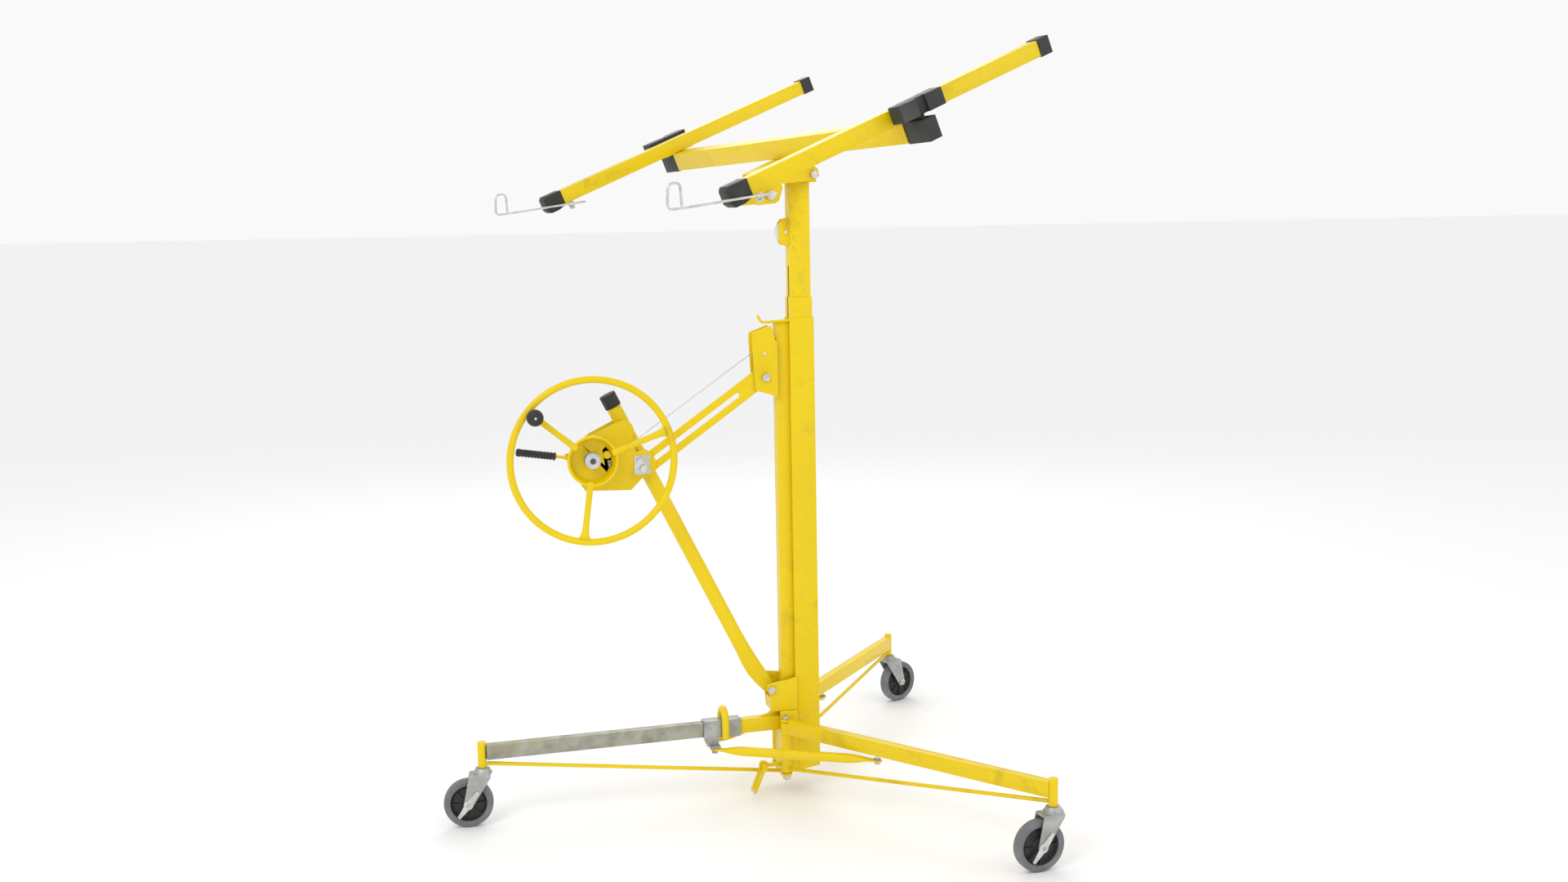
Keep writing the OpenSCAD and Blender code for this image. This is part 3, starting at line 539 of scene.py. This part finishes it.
def dress_all():
    dress(PAINT, 1.2, "outer_mast", "second_mast", "third_mast", "cable_channel", "brace_bracket", "leg_hub",
          "post_bracket", "fixed_leg_post", "turret", "cradle_bracket", "main_beam", "front_arm", "rear_arm",
          "winch_frame", "slotted_brace", "left_leg", "right_leg", "fixed_leg_stub", "wheel_hub")
    dress(PAINT, 1.5, "outrigger_knobs", "leg_latch", "fixed_leg_stay", "left_leg_stay",
          "right_leg_stay")
    dress(TUBE, 1.5, "fixed_leg_tube")
    dress(ZINC, 0.9, "slide_collar", "front_outrigger_tube", "rear_outrigger_tube", "fixed_caster_fork",
          "left_caster_fork", "right_caster_fork")
    dress(PAINT, 0.8, "brake_lever")
    dress(ZINC, 0.6, "cable_drum")
    dress(STEEL, 0.6, "frame_bolts", "tilt_bolt", "tilt_latch", "hook_clips", "brace_clamp",
          "fixed_caster_brake", "left_caster_brake")
    dress(PLASTIC, 2.5, "post_cap", "arm_caps", "front_outrigger", "rear_outrigger")
    dress(NYLON, 0.6, "head_pulley", "guide_pulley")


# ---- frames of the moving assemblies, in millimetres of the drawing ----

def moved(parent, x, y, z, turn=0.0):
    shift = Matrix.Translation(Vector((x, y, z)) * MM)
    return parent @ shift @ Matrix.Rotation(math.radians(turn), 4, "Z")


def mm(points):
    return [Vector(p) * MM for p in points]


def mast(x, y, z):
    return AT_MAST @ (Vector((x, y, z)) * MM)


def polar(x, y, reach, angle):
    return x + reach * math.cos(math.radians(angle)), y + reach * math.sin(math.radians(angle))


AT_FIXED = moved(AT_MAST, 0, -5, 0, 182.3)
WHEEL_X, WHEEL_Y, WHEEL_Z = -566.4, -109, 936.2
AT_WHEEL = frame_of(mast(WHEEL_X, WHEEL_Y, WHEEL_Z), (1, 0, 0), (0, -1, 0))
PIVOTS = {"left": (-71, -53, -53.3), "right": (-71, 53, 50.8)}
STEMS = {"fixed": (*polar(0, -5, 867, 182.3), 175.6),
         "left": (*polar(*PIVOTS["left"][:2], 811, -53.3), 186.7),
         "right": (*polar(*PIVOTS["right"][:2], 811, 50.8), 23.5)}


# ---- winch ----

def make_steering_wheel():
    ring = 204.5
    rim = [((ring + 9 * math.cos(t)) * MM, 9 * math.sin(t) * MM)
           for t in (2 * math.pi * k / 24 for k in range(24))]
    lathe("wheel_rim", rim, AT_WHEEL, PAINT, "steering", 120)
    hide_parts("steering_wheel")
    for n, angle in enumerate((20, 140, 262)):
        at = AT_WHEEL @ Matrix.Rotation(math.radians(angle), 4, "Z")
        shape = ((52, 9.0, 6.0), (64, 8.2, 6.6), (110, 7.6, 7.0), (160, 8.0, 7.2), (182, 9.6, 7.2),
                 (192, 13.0, 7.0), (199, 19.0, 6.2))
        sections = [spoke_section(r, w, h, 2.2) for r, w, h in shape]
        loft("wheel_spoke_%d" % n, sections, PAINT, "steering", at, 28)
        bead("spoke_weld_%d" % n, [Vector((196, y, 8 - abs(y) * 0.1)) for y in range(-15, 16, 3)], 1.3,
             "steering", at)


def spoke_section(reach, half_w, half_h, power):
    return Vector((reach, 0, 0)) * MM, Vector((0, half_w, 0)) * MM, Vector((0, 0, half_h)) * MM, power


def bead(name, points, radius, body, place):
    """Weld bead: a low rippled ridge along points in millimetres."""
    path = rounded_path(mm(points), 0.002, 3)
    fine = []
    for a, b in zip(path, path[1:]):
        steps = max(1, int((b - a).length / 0.0012))
        fine += [a.lerp(b, k / steps) for k in range(steps)]
    fine.append(path[-1])
    bm = bmesh.new()
    rings = []
    for i, (p, (u, v)) in enumerate(zip(fine, frames_along(fine))):
        r = radius * MM * (0.45 if i in (0, len(fine) - 1) else 0.86 + 0.14 * math.sin(i * 1.9))
        rings.append([p + circle_point(u, v, r, k / 10) for k in range(10)])
    ring_strip(bm, rings)
    return finish_mesh(name, bm, PAINT, body, place, smooth=60)


def make_wheel_centre():
    front = -(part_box("wheel_hub")[0].y - MAST.y) / MM + WHEEL_Y
    hub = AT_WHEEL @ Vector((0, 0, (front - 5) * MM))
    toward = Vector((0, -1, 0))
    at = frame_of(hub, (1, 0, 0), toward)
    ring = [(7.6, 0.4), (9, 0), (18.6, 0), (19.6, 0.6), (19.6, 1.8), (18.6, 2.6), (14, 2.6), (13, 2.1),
            (9.6, 2.1), (9, 2.8), (7.6, 2.8)]
    lathe("bearing_ring", mm2(ring), at, STEEL, "steering", 56)
    # Painted shade: a thin near-black disc in the ring's bore stands in for the shade inside the shaft's
    # socket.
    socket = [(7.4, 1.6), (7.4, 2.3), (3, 2.3), (0.3, 2.1), (0.3, 1.6)]
    lathe("shaft_socket_painted_shade", mm2(socket), at, SOCKET_SHADE, "steering", 40)
    make_roller()
    turns = []
    for k in range(15):
        turns += [(33.4, 39.3 + 1.9 * k), (34.6, 40.2 + 1.9 * k)]
    profile = [(31.6, 38.6), *[(r, h) for r, h in turns if h < 66], (31.6, 66.4)]
    drum = frame_of(mast(WHEEL_X, 0, WHEEL_Z), (1, 0, 0), toward)
    lathe("wound_cable", mm2(profile), drum, STEEL, "steering", 64)


def make_roller():
    """Brake roller and its spring in the curved slot of the dish."""
    ring = [(3.4, -25), (9, -25), (10, -24), (10, -19.4), (9.2, -18.6), (4.4, -18.6), (3.4, -19.4)]
    lathe("brake_roller", mm2(ring), moved(AT_WHEEL, 38.5, 11.5, 0.6), PAINT,
          "brake_lever_body", 36)
    coil = []
    for k in range(90):
        t = 2 * math.pi * k / 15
        along = k / 89
        coil.append((42 + 3 * along + 4.2 * math.cos(t), -2 - 18 * along, -19.6 + 4.2 * math.sin(t)))
    rod("brake_spring", mm(coil), 0.0009, STEEL, "brake_lever_body", AT_WHEEL, count=8)


def make_knob():
    x, y = polar(0, 0, 186, 140)
    shape = ((7, 6), (11, 6.6), (11, 9), (9.2, 12), (9.6, 15), (14, 19), (18.6, 25), (20.7, 33), (21, 41),
             (20, 49), (17, 54.6), (12, 58), (7, 59.2), (5.4, 58.6), (4.6, 57.6), (0.4, 57.4))
    piece = lathe("turned_knob", mm2(shape), moved(AT_WHEEL, x, y, 0), PLASTIC,
                  "knob_body", 48, loop=False)
    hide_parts("wheel_knob")
    rivet = [(3.6, 57.3), (3.6, 58.6), (2.8, 59.5), (1.5, 59.9), (0.2, 60)]
    lathe("knob_rivet", mm2(rivet), moved(AT_WHEEL, x, y, 0), STEEL, "knob_body", 28, loop=False)


def make_grip():
    lo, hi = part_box("brake_grip")
    radius = (hi.y - lo.y) / 2 / MM
    direction = Vector((math.cos(math.radians(171)), 0, math.sin(math.radians(171))))
    at = frame_of(mast(WHEEL_X, (lo.y + hi.y) / 2 / MM - MAST.y / MM, WHEEL_Z), (0, 1, 0), direction)
    shape = [(4.4, 92), (radius - 0.6, 92), (radius, 93), (radius, 96)]
    for k in range(11):
        h = 99 + 7.6 * k
        shape += [(radius - 1.5, h), (radius - 1.5, h + 2), (radius - 0.2, h + 3.2), (radius - 0.2, h + 6)]
    shape += [(radius, 184), (radius - 0.8, 188), (radius - 3.5, 190), (4.4, 190)]
    piece = lathe("ribbed_grip", mm2(shape), at, PLASTIC, "brake_lever_body", 40)
    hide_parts("brake_grip")


def make_cable():
    """Wire rope crossing from under the drum to over the guide pulley, laid up from twisted strands."""
    wheel, guide = Vector((WHEEL_X, 0, WHEEL_Z)), Vector((-106, 0, 1182))
    run = guide - wheel
    angle = math.atan2(run.z, run.x) + math.asin((31.5 + 15 + 3) / run.length)
    up = Vector((-math.sin(angle), 0, math.cos(angle)))
    start, end = wheel - up * 33 + Vector((0, -52, 0)), guide + up * 16.5 + Vector((0, -8, 0))
    a, b = start * MM, end * MM
    count, steps, strands = 30, 420, 5
    line = (b - a).normalized()
    u = line.orthogonal().normalized()
    v = line.cross(u)
    rings = []
    for i in range(steps + 1):
        t = i / steps
        ring = []
        for k in range(count):
            theta = 2 * math.pi * k / count
            r = 0.00104 + 0.00032 * abs(math.cos(strands / 2 * (theta - t * 62 * math.pi / strands)))
            ring.append(a.lerp(b, t) + (u * math.cos(theta) + v * math.sin(theta)) * r)
        rings.append(ring)
    bm = bmesh.new()
    ring_strip(bm, rings)
    piece = finish_mesh("wire_rope", bm, STEEL, "cable_run", AT_MAST, smooth=70)
    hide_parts("lift_cable")
    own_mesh(piece)


def make_post():
    """Winch post: a round tube whose foot is pressed flat around the pin."""
    top, low = Vector((-509, 0, 1083)), Vector((-150, 0, 350))
    along = (top - low).normalized()
    foot = [(-98, 280, 5.6, 8), (-101, 284, 5.9, 14), (-105, 289, 6, 16.8), (-122, 312, 6.2, 20.4),
            (-140, 337, 9, 22.4), (-156, 364, 14.2, 21.8), (-171, 394, 17.8, 20)]
    centres = [(Vector((x, 0, z)), a, b) for x, z, a, b in foot]
    centres += [(low + along * t, 18.95, 18.95) for t in (91, 200, 400, 600, (top - low).length)]
    sections = []
    for i, (c, a, b) in enumerate(centres):
        before, after = centres[max(i - 1, 0)][0], centres[min(i + 1, len(centres) - 1)][0]
        way = (after - before).normalized()
        across = Vector((way.z, 0, -way.x))
        sections.append((c * MM, Vector((0, a, 0)) * MM, across * b * MM, 2.6 if i < 5 else 2))
    piece = loft("pressed_post", sections, PAINT, "winch_post_body", AT_MAST, 48)
    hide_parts("winch_post")


# ---- mast and base ----

def make_latch_tips():
    for n, y in enumerate((-52, -24)):
        way = Vector((-28, 0, -66)).normalized()
        end = Vector((-158, y, 18))
        rod("latch_tip_%d" % n, mm([end - way * 2, end + way * 7]), 0.0038, STEEL, "foot_latch", AT_MAST)


def make_carry_hook():
    path = mm([(-37, -24, 1266), (-112, -24, 1262), (-121, -24, 1281)])
    piece = rod("carry_hook_rod", path, 0.0035, PAINT, "base", AT_MAST, corner=0.014)
    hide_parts("carry_hook")
    outline = [(-80, -18), (-37, -18), (-37, 18), (-80, 18)]
    plate("channel_cap", mm2(outline), 0.003, PAINT, "base", moved(AT_MAST, 0, 0, 1262), 0.0009)


def make_collar_handle():
    reach, top = 25.9, 216
    angles = [math.pi * k / 20 for k in range(21)]
    arc = [(0, reach * math.cos(t), top + reach * math.sin(t)) for t in angles]
    path = mm([(0, reach, 166), (0, reach, 200), *arc, (0, -reach, 200), (0, -reach, 166)])
    piece = rod("bent_handle", path, 0.0094, PAINT, "collar", moved(AT_FIXED, 233, 0, 0), count=28)
    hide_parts("collar_handle")


def make_link(side):
    s = -1 if side == "left" else 1
    c, q = math.cos(math.radians(182.3)), math.sin(math.radians(182.3))
    near = Vector((264 * c + s * 29 * q, -5 + 264 * q - s * 29 * c, 0))
    px, py, angle = PIVOTS[side]
    far = Vector((*polar(px, py, 300, angle), 0))
    length = (far - near).length
    turn = math.degrees(math.atan2(far.y - near.y, far.x - near.x))
    at = moved(AT_MAST, near.x, near.y, 0, turn)
    shape = [(-12, 2.5, 2.6), (-11, 5.5, 3), (-8, 9, 3), (-4, 11.3, 3), (2, 12, 3), (18, 12, 3),
             (28, 11.9, 4.2), (44, 11.9, 7.6), (62, 11.9, 10.6), (80, 11.95, 11.95)]
    shape += [(length - x, w, h) for x, w, h in reversed(shape)]
    sections = [section(x, w, h, 144 + 14 * smooth_step(x, length)) for x, w, h in shape]
    piece = loft(side + "_link_rod", sections, PAINT, side + "_link_body", at, 36)
    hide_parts(side + "_link")
    rod(side + "_link_pin", mm([(length, 0, 150), (length, 0, 173)]), 0.005, STEEL, side + "_link_body", at)
    hex_bolt(side + "_link_bolt", at @ (Vector((length, 0, 155)) * MM), (0, 0, -1), 0.015, 0.006, STEEL,
             side + "_link_body")
    washer = [(5.2, 161), (10, 161), (10, 162.6), (5.2, 162.6)]
    lathe(side + "_link_washer", mm2(washer), moved(at, length, 0, 0), ZINC, side + "_link_body", 32)


def smooth_step(x, length):
    return min(1, max(0, (x - 28) / (length - 56)))


def section(x, half_w, half_h, z):
    return Vector((x, 0, z)) * MM, Vector((0, half_w, 0)) * MM, Vector((0, 0, half_h)) * MM, 2.3


def make_leg_welds():
    for side in ("left", "right"):
        at = moved(AT_MAST, *PIVOTS[side][:2], 0, PIVOTS[side][2])
        for y in (-10.5, 10.5):
            bead("%s_barrel_weld_%s" % (side, "a" if y < 0 else "b"),
                 [(17.6, y, 175), (17.6, y, 192), (17.6, y, 210)], 1.6, side + "_leg_body", at)


# ---- cradle ----

def make_hook(side, y):
    low, bend = 105, -26
    foot = Vector((-188, bend, 159))
    heel = foot + Vector((-32, 0, 10))
    at = moved(AT_CRADLE, -417, y, 0)
    path = [(8, -3, low), (36, bend, low - 5), foot, heel, heel + Vector((22, 0, 49)),
            foot + Vector((17, 0, 51)), foot + Vector((1, 0, 4))]
    body = side + "_hook_body"
    piece = rod(side + "_bent_hook", mm(path), 0.003, STEEL, body, at, corner=0.013, count=16)
    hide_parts(side + "_hook")
    lathe(side + "_hook_eye", [((6.6 + 2.3 * math.cos(t)) * MM, (low + 2.9 * math.sin(t)) * MM)
                               for t in (2 * math.pi * k / 16 for k in range(16))], at, STEEL, body, 36)


# ---- casters ----

def make_caster(name):
    x, y, turn = STEMS[name]
    at = moved(AT_MAST, x, y, 0, turn)
    axle = at @ Matrix.Translation(Vector((38, 0, 62.5)) * MM) @ Matrix.Rotation(math.radians(90), 4, "X")
    tyre = [(46.4, -10.5), (57.6, -13.1), (60.2, -12.6), (61.8, -10.6), (62.5, -7), (62.5, 7), (61.8, 10.6),
            (60.2, 12.6), (57.6, 13.1), (46.4, 10.5)]
    piece = lathe(name + "_tyre", mm2(tyre), axle, TREAD, name + "_wheel", 72)
    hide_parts(name + "_caster_wheel")
    core = [(5.3, -17.6), (9, -17.6), (13.4, -16), (14, -10), (18, -6.4), (40, -4), (43.5, -8), (45, -10.8),
            (46.5, -11.2), (46.5, 11.2), (45, 10.8), (43.5, 8), (40, 4), (18, 6.4), (14, 10), (13.4, 16),
            (9, 17.6), (5.3, 17.6)]
    lathe(name + "_core", mm2(core), axle, PLASTIC, name + "_wheel", 72)
    for k in range(8):
        spoke = axle @ Matrix.Rotation(math.radians(45 * k), 4, "Z")
        loft("%s_rib_%d" % (name, k),
             [spoke_section(r, 1.5, h, 6) for r, h in ((12.5, 10.6), (24, 9.6), (36, 9.4), (44.6, 10.2))],
             PLASTIC, name + "_wheel", spoke, 20)
    body = name + "_caster"
    for s in (-1, 1):
        hex_bolt("%s_axle_nut_%s" % (name, "a" if s < 0 else "b"), at @ (Vector((38, s * 21.6, 62.5)) * MM),
                 at.to_3x3() @ Vector((0, s, 0)), 0.017, 0.005, STEEL, body)
    ring = [((22.6 + 1.9 * math.cos(t)) * MM, (141.2 + 2.1 * math.sin(t)) * MM)
            for t in (2 * math.pi * k / 16 for k in range(16))]
    lathe(name + "_raceway", ring, at, ZINC, body, 56)
    hex_bolt(name + "_kingpin_nut", at @ (Vector((0, 0, 132)) * MM), (0, 0, -1), 0.017, 0.004, ZINC, body)


def main():
    make_camera()
    make_studio()
    dress_all()
    make_steering_wheel()
    make_wheel_centre()
    make_knob()
    make_grip()
    make_post()
    make_latch_tips()
    make_cable()
    make_carry_hook()
    make_collar_handle()
    for side in ("left", "right"):
        make_link(side)
    make_leg_welds()
    make_hook("front", -581.5)
    make_hook("rear", 581.5)
    for name in STEMS:
        make_caster(name)


main()
